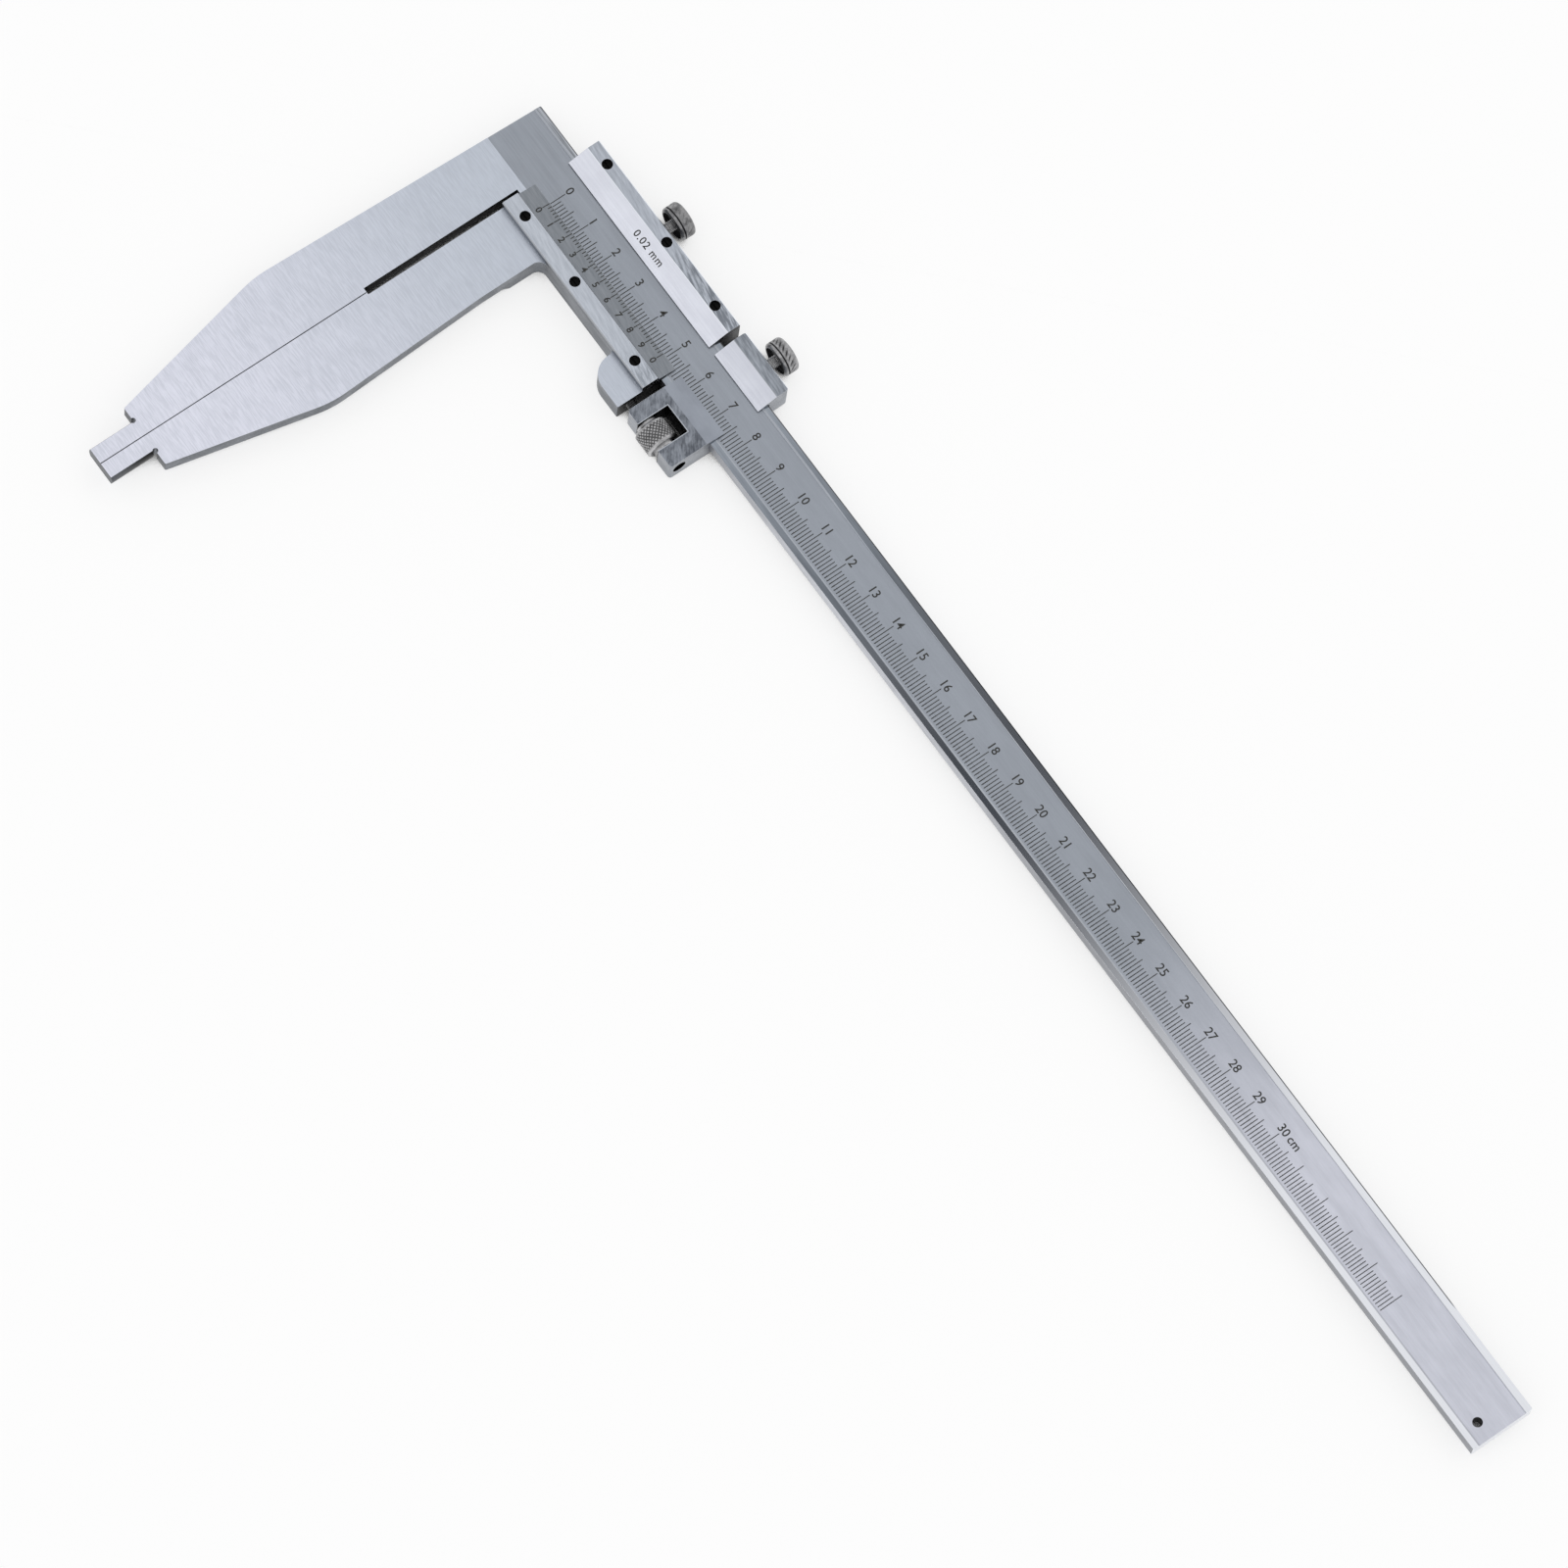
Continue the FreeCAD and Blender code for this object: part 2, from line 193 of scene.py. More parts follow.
class Finish(Shader):  # a metal whose colour, roughness and relief are worked out from place and normal
    def __init__(self, name):
        self.material = bpy.data.materials.new(name)
        self.material.use_nodes = True
        super().__init__(self.material.node_tree)
        self.surface = self.tree.nodes["Principled BSDF"]
        place = self.add("ShaderNodeTexCoord", {}, {}, out="Object")
        scaled = {"Vector": place, "Scale": 1 / mm}
        self.place = self.add("ShaderNodeVectorMath", {"operation": "SCALE"}, scaled)
        self.x, self.y, self.z = self.split(self.place)
        self.nx, self.ny, self.nz = self.split(self.add("ShaderNodeNewGeometry", {}, {}, out="True Normal"))

    def band(self, value, low, high, soft=0.05):  # 1 between low and high
        return self.step(value, low - soft, low + soft) * (1 - self.step(value, high - soft, high + soft))

    def noise(self, grain, detail=3.0, shift=0.0, lean=0.0, contrast=1.0):  # grain is its size in mm
        stretched = self.add(
            "ShaderNodeMapping", {"vector_type": "TEXTURE"},
            {"Vector": self.place, "Location": (shift, shift, 0), "Rotation": (0, 0, lean), "Scale": grain},
        )
        values = {"Vector": stretched, "Scale": 1.0, "Detail": detail, "Roughness": 0.6}
        half = 0.2 / contrast
        return self.step(self.add("ShaderNodeTexNoise", {}, values), 0.5 - half, 0.5 + half)

    def near(self, first, second, radius):  # 1 inside a circle whose centre is where first and second are 0
        return 1 - self.step(first * first + second * second, radius ** 2, (radius + 0.1) ** 2)

    def set(self, name, value):
        if isinstance(value, Wire):
            self.tree.links.new(value.socket, self.surface.inputs[name])
        elif isinstance(value, tuple):
            self.surface.inputs[name].default_value = opaque(value)
        else:
            self.surface.inputs[name].default_value = value

    def relief(self, height, depth):  # depth in millimetres
        values = {"Height": height, "Distance": depth * mm, "Strength": 1.0}
        self.set("Normal", self.add("ShaderNodeBump", {}, values))


# Studio
studioSettings = {
    "floorHalf": 8000.0,
    "floorColour": (0.3, 0.3, 0.3),
    "floorRoughness": 0.9,
    "floorSpecular": 0.1,
    "floorGlow": 0.71,
    "shadeReach": 15.0,  # how far the floor looks for the object over it
    "shadeSamples": 10,
    "shadeStart": 0.16,
    "shadeEnd": 0.34,
    "skyColour": (1.0, 1.0, 1.0),
    "skyStrength": 0.88,
    "cardColour": (0.06, 0.067, 0.078),
    "cardPlace": (195.0, 0.0, 4.2),  # where on the beam the card's middle is reflected
    "cardReach": 3.05,  # in degrees
    "lightDistance": 2400.0,
    "lightAim": (150.0, 0.0, 0.0),
    "lights": {  # direction, width across and energy
        "key": ((-0.24, -0.36, 0.90), 1000.0, 0.7),
        "back": ((0.30, 0.62, 0.72), 1000.0, 0.5),
    },
}


def softbox(name, aim, direction, distance, size, energy):
    data = bpy.data.lights.new(name, "AREA")
    data.shape = "DISK"
    data.size = size * mm
    data.energy = energy
    light = bpy.data.objects.new(name, data)
    back = Vector(direction).normalized()
    light.location = (Vector(aim) + back * distance) * mm
    light.rotation_mode = "QUATERNION"
    light.rotation_quaternion = back.to_track_quat("Z", "Y")
    light.visible_camera = False
    bpy.context.scene.collection.objects.link(light)


def makeStudio(settings):
    world = bpy.data.worlds.new("studio")
    bpy.context.scene.world = world
    world.use_nodes = True
    sky = Shader(world.node_tree)
    camera = bpy.context.scene.camera.matrix_world.translation
    card = Vector(settings["cardPlace"]) * mm - camera
    card.z = -card.z
    direction = sky.add("ShaderNodeTexCoord", {}, {}, out="Generated")
    facing = sky.add(
        "ShaderNodeVectorMath", {"operation": "DOT_PRODUCT"},
        {0: direction, 1: tuple(card.normalized())}, out="Value",
    )
    angle = facing.join("ARCCOSINE", facing, 0)
    away = sky.step(angle, 0.0, math.radians(settings["cardReach"]))
    colour = sky.mix(away, settings["cardColour"], settings["skyColour"])
    background = world.node_tree.nodes["Background"]
    background.inputs["Strength"].default_value = settings["skyStrength"]
    world.node_tree.links.new(colour.socket, background.inputs["Color"])
    for name, (direction, size, energy) in settings["lights"].items():
        softbox(name, settings["lightAim"], direction, settings["lightDistance"], size, energy)
    shape = bmesh.new()
    bmesh.ops.create_grid(shape, x_segments=1, y_segments=1, size=settings["floorHalf"] * mm)
    bmesh.ops.translate(shape, verts=shape.verts, vec=(0, 0, cadLow.z))
    mesh = bpy.data.meshes.new("floor")
    shape.to_mesh(mesh)
    shape.free()
    floor = bpy.data.objects.new("floor", mesh)
    bpy.context.scene.collection.objects.link(floor)
    paper = bpy.data.materials.new("paleFloor")
    paper.use_nodes = True
    sheet = Shader(paper.node_tree)
    reach = {"Distance": settings["shadeReach"] * mm}
    unshaded = sheet.add("ShaderNodeAmbientOcclusion", {"samples": settings["shadeSamples"]}, reach, out="AO")
    unshaded = sheet.step(unshaded, settings["shadeStart"], settings["shadeEnd"])  # painted shade: 0 on the floor under the object, so its colour and glow go dark there
    glow = sheet.mix(unshaded, (0, 0, 0), (1, 1, 1))
    surface = paper.node_tree.nodes["Principled BSDF"]
    paper.node_tree.links.new(sheet.mix(unshaded, (0, 0, 0), settings["floorColour"]).socket,
                              surface.inputs["Base Color"])
    paper.node_tree.links.new(glow.socket, surface.inputs["Emission Color"])
    surface.inputs["Emission Strength"].default_value = settings["floorGlow"]
    surface.inputs["Roughness"].default_value = settings["floorRoughness"]
    surface.inputs["Specular IOR Level"].default_value = settings["floorSpecular"]
    mesh.materials.append(paper)
    bpy.context.scene.view_settings.view_transform = "Standard"


makeStudio(studioSettings)
print("studio ready")


# Finishes
grain = {  # the size of each kind of mark along x, y and z
    "brushFine": (14.0, 0.35, 0.35),
    "brushBroad": (60.0, 1.3, 1.3),
    "cloud": (9.0, 6.0, 6.0),
    "stain": (12.0, 3.0, 3.0),
    "jawBrush": (7.0, 0.22, 0.3),
    "jawScratch": (4.0, 0.26, 0.3),
    "jawCloud": (6.0, 9.0, 9.0),
    "blotch": (5.0, 0.7, 1.3),
    "smear": (2.6, 0.5, 0.5),
    "patch": (3.2, 2.2, 2.2),
    "knurlCloud": (1.6, 1.6, 1.6),
    "knurlGrime": (0.35, 0.35, 0.35),
    "smallCloud": (1.5, 0.8, 0.8),
    "smallBrush": (4.0, 0.2, 0.2),
}


def streaks(finish, shift=0.0):  # brushing along the beam: fine lines, broader bands and faint clouds
    fine = finish.noise(grain["brushFine"], shift=shift)
    broad = finish.noise(grain["brushBroad"], shift=shift + 7)
    cloud = finish.noise(grain["cloud"], shift=shift + 19)
    return fine, broad, cloud


jawTones = {
    # root to tip: a painted light gradient along the jaw faces
    "root": (0.60, 0.645, 0.725),
    "tip": (0.84, 0.855, 0.96),
    "dark": (0.42, 0.45, 0.51),
    "tipReach": (0.0, 105.0),
    "streak": 0.42,
    # sides: painted shade on the vertical faces
    "side": (0.22, 0.235, 0.26),
    "sideDark": (0.11, 0.12, 0.135),
    # seam: painted shadow in the closed jaws' seam and on the slot's unlit walls
    "seam": (0.03, 0.03, 0.035),
    "seamHalf": 0.13,
    "reliefDrop": 47.0,
    "reliefHalf": 1.5,
    "nibTop": -114.4,
    "nibSide": (0.02, 0.02, 0.02),
    "nibFade": (116.0, 128.0),
}


def jawColour(finish, settings, shift=0.0):  # ground across the jaw, paler towards the tip as a painted light gradient
    fine = finish.noise(grain["jawBrush"], shift=shift)
    scratch = finish.noise(grain["jawScratch"], detail=2.0, shift=shift + 31, contrast=2.2)
    cloud = finish.noise(grain["jawCloud"], shift=shift + 19)
    tip = finish.step(-finish.y, *settings["tipReach"])
    tone = fine * 0.25 + scratch * 0.55 + cloud * 0.2
    colour = finish.mix(tip, settings["root"], settings["tip"])
    return finish.mix(tone * settings["streak"], colour, settings["dark"])


def jawSeam(finish, settings):  # painted shadow: the dark line where the closed jaws meet
    near = 1 - finish.step(abs(finish.x), settings["seamHalf"] - 0.03, settings["seamHalf"] + 0.03)
    below = finish.step(-finish.y, settings["reliefDrop"], settings["reliefDrop"] + 0.2)
    return near * below * finish.step(finish.nz, 0.3, 0.5)


def nibSide(finish, settings, colour):  # the turned sides of the nibs in painted shade, darker towards the shoulders
    nib = finish.step(-finish.y, -settings["nibTop"] - 0.1, -settings["nibTop"] + 0.1)
    bare = finish.step(-finish.y, *settings["nibFade"]) * 0.6
    return finish.mix(nib * (1 - bare), colour, settings["nibSide"])


def reliefWalls(finish, settings):  # the unlit walls of the slot between the jaws
    slot = finish.band(finish.x, -settings["reliefHalf"], settings["reliefHalf"], 0.05)
    slot = slot * finish.band(finish.y, -settings["reliefDrop"] - 0.1, 0.5)
    return slot * (1 - finish.step(abs(finish.nz), 0.3, 0.6))


def stripTone(finish, settings, fine, stain):  # the ground strips, with a painted reflection: dim at the head and bright at the tail
    bright = finish.mix(fine * 0.25, settings["strip"], settings["stripDark"])
    dull = finish.mix(fine * 0.3 + stain * 0.4, settings["stripDimReflection"], settings["stripDimReflectionDark"])
    head = finish.mix(fine, *settings["stripHead"])
    dull = finish.mix(finish.step(finish.x, *settings["headEnd"]), head, dull)
    colour = finish.mix(finish.step(finish.x, *settings["stripStart"]), dull, bright)
    # painted shade: a dark line along the upper strip's outer edge
    outline = finish.step(finish.y, settings["outlineAt"] - 0.04, settings["outlineAt"] + 0.04)
    outline = outline * (1 - finish.step(finish.x, *settings["outlineEnd"]))
    return finish.mix(outline, colour, settings["outlineShade"])


def beamSideTone(finish, settings, tone):  # the fixed jaw's sides, then the beam's, all in painted shade, with painted light brightest in its middle
    jawSide = finish.mix(tone, jawTones["side"], jawTones["sideDark"])
    middle = finish.mix(tone, settings["side"], settings["sideDark"])
    tail = finish.mix(tone, settings["sideTail"], settings["sideTailDark"])
    bright = finish.step(finish.x, *settings["sideRise"])
    bright = bright * (1 - finish.step(finish.x, *settings["sideFall"]))
    side = finish.mix(bright, tail, middle)
    side = finish.mix(finish.step(finish.x, *settings["jawSideEnd"]), jawSide, side)
    return nibSide(finish, jawTones, side)


def beamFinish(settings):
    finish = Finish("beamSteel")
    fine, broad, cloud = streaks(finish)
    stain = finish.noise(grain["stain"], detail=5.0, shift=61)
    up = finish.step(finish.nz, 0.75, 0.95)
    down = finish.step(-finish.nz, 0.5, 0.8)
    edge = finish.band(finish.nz, 0.2, 0.85)
    high = finish.step(finish.z, settings["scaleFloor"] + 0.03, settings["scaleFloor"] + 0.08)
    jaw = finish.step(settings["jawTop"] - finish.y, -0.05, 0.05)
    jaw = jaw * finish.step(settings["jawEnd"] - finish.x, 0.0, 0.1)
    rimTop = settings["rimTop"] - settings["rimShift"] * finish.step(finish.x, *settings["rimStart"])
    rim = high * finish.band(finish.y, settings["rimBottom"], rimTop, 0.07)  # the strips' inner rims by the step down to the scale: a painted highlight, duller than the bright strips
    strip = high * (1 - jaw) * (1 - rim)
    # painted light: the scale face and the strips' rims grow lighter towards the tail
    tail = finish.step(finish.x, *settings["tailStart"])
    worn = 1 - 0.6 * finish.step(finish.x, *settings["wornReach"])
    tone = (fine * 0.3 + broad * 0.35) * worn + stain * 0.35
    scaleColour = finish.mix(tail, settings["scaleHead"], settings["scaleTail"])
    scaleColour = finish.mix(rim, scaleColour, finish.mix(tail, settings["rimHead"], settings["rimTail"]))
    scaleColour = finish.mix(tone * settings["streak"], scaleColour, settings["scaleDark"])
    face = finish.mix(strip, scaleColour, stripTone(finish, settings, fine, stain))
    face = finish.mix(jaw, face, jawColour(finish, jawTones))
    side = beamSideTone(finish, settings, fine * 0.6 + cloud * 0.4)
    colour = finish.mix(up.larger(down), side, face)
    # broken edges: painted shade on the outer ones, a painted highlight on the step's
    inner = finish.band(finish.y, settings["edgeInset"], settings["stripEnd"] - settings["edgeInset"])
    edgeColour = finish.mix(inner, settings["edge"], settings["stepEdgeHighlight"])
    colour = finish.mix(edge * (1 - jaw), colour, edgeColour)
    # painted shade: the hanging hole's walls are near black
    hole = finish.near(finish.x - settings["holeX"], finish.y - settings["holeY"], settings["holeRadius"])
    # painted light: the beam's end face is much lighter than its sides
    end = finish.step(finish.x, settings["endFrom"], settings["endFrom"] + 0.1) * (1 - up)
    colour = finish.mix(end, colour, settings["endFaceLit"])
    colour = finish.mix(hole, colour, settings["holeShade"])
    dark = jawSeam(finish, jawTones).larger(reliefWalls(finish, jawTones))
    finish.set("Base Color", finish.mix(dark, colour, jawTones["seam"]))
    finish.set("Metallic", 1.0)
    polished = strip * up
    rough = settings["roughness"] + fine * 0.1
    finish.set("Roughness", rough * (1 - polished) + settings["polish"] * polished)
    finish.relief(fine * (1 - polished), 0.004)
    return finish.material


def cageTone(finish, settings, above, lip, cloud):  # the milled cage, a smooth lip, and the flat above
    lean = settings["smearLean"]
    smear = finish.noise(grain["smear"], shift=settings["shift"] + 9, lean=lean, contrast=1.4)
    patch = finish.noise(grain["patch"], shift=settings["shift"] + 23, lean=lean, contrast=1.4)
    milled = finish.mix(smear * 0.45 + patch * 0.55, settings["milled"], settings["milledDark"])
    low = 1 - finish.step(finish.y, settings["plainAbove"] - 0.05, settings["plainAbove"] + 0.05)
    plain = finish.mix(cloud, settings["plain"], settings["plainDark"])
    return finish.mix(lip, finish.mix(low, above, milled), plain)


def windowTone(finish, settings, colour):  # the window's rim in a painted highlight, and its walls and bores in painted shade
    rim = settings["windowRim"]
    window = finish.band(finish.x, settings["windowStart"] - rim, settings["windowEnd"] + rim, 0.03)
    under = finish.step(finish.y, settings["windowTop"] + 0.22, settings["windowTop"] + 0.28)
    window = window * (1 - under)
    colour = finish.mix(window * finish.step(finish.nz, 0.2, 0.4), colour, settings["windowLitEdge"])
    walls = window * (1 - finish.step(abs(finish.nz), 0.2, 0.4))
    bore = finish.near(finish.y - settings["rodY"], finish.z - settings["rodZ"], settings["boreRadius"])
    bore = bore * (1 - finish.step(finish.nx, 0.5, 0.8))
    return finish.mix(walls.larger(bore), colour, settings["end"])


def plateFinish(name, settings):  # a flat; a slope that leans towards the scale, lighter as painted light; edges with a painted highlight; sides and gap ends in painted shade
    finish = Finish(name)
    shift = settings["shift"]
    lean = settings["blotchLean"]
    fine, broad, cloud = streaks(finish, shift)
    blotch = finish.noise(grain["blotch"], detail=6.0, shift=shift + 3, lean=lean, contrast=1.3)
    level = finish.step(finish.nz, 0.985, 0.99)
    slope = finish.step(finish.nz, 0.9, 0.93) * (1 - level)
    edge = finish.band(finish.nz, 0.15, 0.87)
    down = finish.step(-finish.nz, 0.5, 0.8)
    tone = fine * 0.3 + broad * 0.2 + blotch * 0.5
    if "wornFrom" in settings:  # darker and more mottled towards the clamped end
        tone = tone * 0.6 + blotch * finish.step(finish.x, *settings["wornFrom"]) * 0.9
    flatColour = finish.mix(tone, settings["flat"], settings["flatDark"])
    if "plainAbove" in settings:
        lip = finish.band(finish.y, settings["plainAbove"], settings["plainBelow"])
        flatColour = cageTone(finish, settings, flatColour, lip, cloud)
        slope = slope * (1 - lip)
        level = level.larger(lip * finish.step(finish.nz, 0.9, 0.93))
    # painted light: the slope is lighter than the flat
    slopeColour = finish.mix(fine * 0.3 + cloud * 0.3, settings["slope"], settings["slopeDark"])
    # painted shade on the sides
    side = finish.mix(fine * 0.5 + cloud * 0.5, settings["side"], settings["sideDark"])
    if settings["jaw"]:
        flatColour = jawColour(finish, jawTones, shift)
        edge = edge * finish.step(finish.y, jawTones["nibTop"] - 0.05, jawTones["nibTop"] + 0.05)
        side = nibSide(finish, jawTones, side)
    if settings.get("endAt"):  # painted shade: the end in the gap beside the carriage is near black
        gap = finish.step(finish.x, settings["endAt"] - 0.4, settings["endAt"] - 0.3)
        side = finish.mix(gap * finish.step(finish.nx, 0.5, 0.9), side, settings["end"])
    colour = finish.mix(level.larger(down), side, flatColour)
    colour = finish.mix(slope, colour, slopeColour)
    # the broken edges: a painted highlight, set darker on the rail
    colour = finish.mix(edge, colour, settings["edge"])
    # a line where the slope meets the flat: a painted highlight on the guide plate
    if settings.get("crest"):
        crest = finish.band(finish.y, settings["crest"] - 0.12, settings["crest"] + 0.04, 0.03)
        colour = finish.mix(crest * finish.step(finish.nz, 0.9, 0.93), colour, settings["crestEdge"])
    if settings["jaw"]:
        dark = jawSeam(finish, jawTones).larger(reliefWalls(finish, jawTones))
        colour = finish.mix(dark, colour, jawTones["seam"])
    if "windowEnd" in settings:
        colour = windowTone(finish, settings, colour)
    finish.set("Base Color", colour)
    finish.set("Metallic", 1.0)
    finish.set("Roughness", settings["roughness"] + fine * 0.1 + cloud * 0.06)
    finish.relief(fine * 0.7 + blotch * 0.3, 0.005)
    return finish.material


knurlRoughness = 0.26  # on the points of a clean knurl


def knurlFinish(name, settings):
    finish = Finish(name)
    groove = finish.add("ShaderNodeAttribute", {"attribute_name": "groove"}, {}, out="Fac")
    cloud = finish.noise(grain["knurlCloud"], shift=3)
    grime = finish.noise(grain["knurlGrime"], shift=13)
    colour = finish.mix(cloud * 0.6 + grime * 0.3, settings["bright"], settings["dull"])
    # painted shade in the knurl's grooves and hollows
    finish.set("Base Color", finish.mix(groove, colour, settings["groove"]))
    finish.set("Metallic", 1.0)
    finish.set("Roughness", knurlRoughness + cloud * 0.14 + groove * 0.3)
    finish.relief(grime, 0.006)
    return finish.material


def plainFinish(name, light, dark, roughness, metallic=1.0):
    finish = Finish(name)
    cloud = finish.noise(grain["smallCloud"], shift=5)
    fine = finish.noise(grain["smallBrush"], shift=23)
    finish.set("Base Color", finish.mix(cloud * 0.5 + fine * 0.5, light, dark))
    finish.set("Metallic", metallic)
    finish.set("Roughness", roughness + fine * 0.1)
    finish.relief(fine, 0.003)
    return finish.material


plateForm = {"lip": 0.35, "flat": 3.7, "vernierLip": 0.3, "cageLip": -1.0, "scaleRecess": 0.15}
beamHigh = boxMm("main_beam")[1]
guideLow, guideHigh = boxMm("upper_guide_plate")
railHigh = boxMm("lower_guide_rail")[1]
rodLow, rodHigh = boxMm("fine_adjust_screw")
nutLow, nutHigh = boxMm("fine_adjust_nut")
hangingHole = next(m for m in frame["record"]["mounts"] if m["name"] == "hanging_hole")
beamTones = {
    "scaleFloor": beamHigh.z - plateForm["scaleRecess"],
    "jawTop": 2.0,
    "jawEnd": 0.2,
    "streak": 0.42,
    "wornReach": (0.0, 120.0),
    # head to tail scale colours: painted light, lighter towards the tail
    "tailStart": (235.0, 325.0),
    "scaleHead": (0.375, 0.405, 0.455),
    "scaleTail": (0.70, 0.715, 0.80),
    "scaleDark": (0.22, 0.235, 0.265),
    # strip colours: a painted reflection, bright towards the tail and dim at the head
    "strip": (0.86, 0.88, 0.93),
    "stripDark": (0.72, 0.74, 0.78),
    "stripDimReflection": (0.385, 0.425, 0.48),
    "stripDimReflectionDark": (0.235, 0.26, 0.30),
    "rimBottom": 1.6,
    "rimTop": 16.6,
    "rimShift": 0.45,
    "rimStart": (100.0, 128.0),
    "rimHead": (0.46, 0.49, 0.54),
    "rimTail": (0.54, 0.555, 0.61),
    "stripStart": (125.0, 205.0),
    "stripHead": ((0.56, 0.59, 0.64), (0.20, 0.215, 0.24)),
    "headEnd": (8.0, 14.0),
    "stripEnd": 18.0,
    "outlineAt": 17.72,
    "outlineEnd": (364.5, 367.5),
    "outlineShade": (0.15, 0.155, 0.165),
    # side colours: painted shade, with painted light in the beam's middle
    "side": (0.70, 0.72, 0.77),
    "sideDark": (0.42, 0.43, 0.465),
    "sideRise": (60.0, 135.0),
    "sideFall": (165.0, 240.0),
    "sideTail": (0.33, 0.34, 0.37),
    "sideTailDark": (0.25, 0.26, 0.28),
    "jawSideEnd": (0.0, 5.0),
    # outer broken edges: painted shade; the step's: a painted highlight
    "edge": (0.16, 0.165, 0.175),
    "edgeInset": 1.0,
    "stepEdgeHighlight": (0.42, 0.44, 0.47),
    "roughness": 0.34,
    "polish": 0.035,
    "holeX": hangingHole["pos_m"][0] / mm,
    "holeY": hangingHole["pos_m"][1] / mm,
    "holeRadius": hangingHole["dims"]["r_mm"],
    "holeShade": (0.008, 0.008, 0.009),
    "endFrom": beamHigh.x - 0.3,
    "endFaceLit": (0.80, 0.815, 0.85),
}
sliderTones = {
    "jaw": True,
    "shift": 0.0,
    "blotchLean": math.radians(-12),
    "flat": (0.58, 0.62, 0.69),
    "flatDark": (0.36, 0.40, 0.46),
    # slope: painted light; side and end: painted shade; edge: a painted highlight
    "slope": (0.75, 0.77, 0.845),
    "slopeDark": (0.66, 0.675, 0.75),
    "side": (0.22, 0.235, 0.26),
    "sideDark": (0.11, 0.12, 0.135),
    "endAt": railHigh.x,
    "end": (0.012, 0.012, 0.013),
    "edge": (0.85, 0.88, 0.93),
    "roughness": 0.3,
}
guideTones = {
    **sliderTones,
    "jaw": False,
    "shift": 40.0,
    "flat": (0.56, 0.60, 0.67),
    "flatDark": (0.22, 0.24, 0.275),
    "wornFrom": (26.0, 52.0),
    "crest": guideHigh.y - plateForm["flat"],
    "crestEdge": (0.85, 0.88, 0.93),
}
railTones = {
    **guideTones,
    "shift": 200.0,
    "flat": (0.61, 0.65, 0.72),
    "flatDark": (0.34, 0.37, 0.415),
    "wornFrom": (48.0, 60.0),
    "crest": None,
    "edge": (0.42, 0.44, 0.47),
}
carriageTones = {
    **sliderTones,
    "jaw": False,
    "shift": 80.0,
    "endAt": None,
    "flat": (0.43, 0.465, 0.52),
    "flatDark": (0.16, 0.175, 0.20),
    "milled": (0.31, 0.335, 0.38),
    "milledDark": (0.10, 0.11, 0.13),
    "slope": (0.67, 0.69, 0.76),
    "slopeDark": (0.60, 0.615, 0.69),
    "smearLean": math.radians(-36),
    "plainAbove": plateForm["cageLip"],
    "plainBelow": 10.0,
    "plain": (0.355, 0.385, 0.44),
    "plainDark": (0.31, 0.335, 0.385),
    "side": (0.38, 0.40, 0.435),
    "sideDark": (0.24, 0.255, 0.28),
    "crest": guideHigh.y - plateForm["flat"],
    "crestEdge": (0.40, 0.42, 0.45),
    "windowStart": nutLow.x,
    "windowEnd": nutHigh.x,
    "windowTop": -3.0,
    "windowRim": 0.27,
    "windowLitEdge": (0.50, 0.53, 0.58),
    "rodY": (rodLow.y + rodHigh.y) / 2,
    "rodZ": (rodLow.z + rodHigh.z) / 2,
    "boreRadius": 1.95,
}
vernierTones = {
    **sliderTones,
    "jaw": False,
    "shift": 120.0,
    "flat": (0.30, 0.32, 0.35),
    "flatDark": (0.22, 0.24, 0.265),
    "slope": (0.32, 0.34, 0.375),
    "slopeDark": (0.24, 0.26, 0.29),
    "roughness": 0.36,
}
headTones = {"bright": (0.50, 0.50, 0.51), "dull": (0.14, 0.14, 0.145), "groove": (0.03, 0.03, 0.032)}
wornTones = {"bright": (0.37, 0.37, 0.375), "dull": (0.085, 0.085, 0.09), "groove": (0.025, 0.025, 0.027)}
nutTones = {"bright": (0.62, 0.62, 0.63), "dull": (0.26, 0.26, 0.265), "groove": (0.03, 0.03, 0.032)}
finishes = {
    "beam": beamFinish(beamTones),
    "slider": plateFinish("sliderSteel", sliderTones),
    "guide": plateFinish("guideSteel", guideTones),
    "rail": plateFinish("railSteel", railTones),
    "carriage": plateFinish("carriageSteel", carriageTones),
    "vernier": plateFinish("vernierChrome", vernierTones),
    "head": knurlFinish("knurledHead", headTones),
    "wornHead": knurlFinish("wornHead", wornTones),
    "nut": knurlFinish("knurledNut", nutTones),
    "thread": plainFinish("threadSteel", (0.66, 0.66, 0.66), (0.36, 0.36, 0.37), 0.28),
    # painted shade: the adjusting rod, which sits in the gap beside the carriage, is near black
    "rod": plainFinish("shadedThreadSteel", (0.20, 0.20, 0.205), (0.06, 0.06, 0.062), 0.3),
    # black oxide screws, made near black as painted shade in their counterbores
    "black": plainFinish("blackOxideInShade", (0.008, 0.008, 0.008), (0.004, 0.004, 0.004), 0.7, 0.8),
    "spring": plainFinish("springSteel", (0.45, 0.47, 0.5), (0.25, 0.26, 0.3), 0.25),
    "brass": plainFinish("shoeBrass", (0.78, 0.6, 0.3), (0.5, 0.37, 0.17), 0.3),
    "ink": plainFinish("scaleInk", (0.035, 0.034, 0.03), (0.015, 0.015, 0.014), 0.6, 0.0),
}
print("finishes made:", len(finishes))


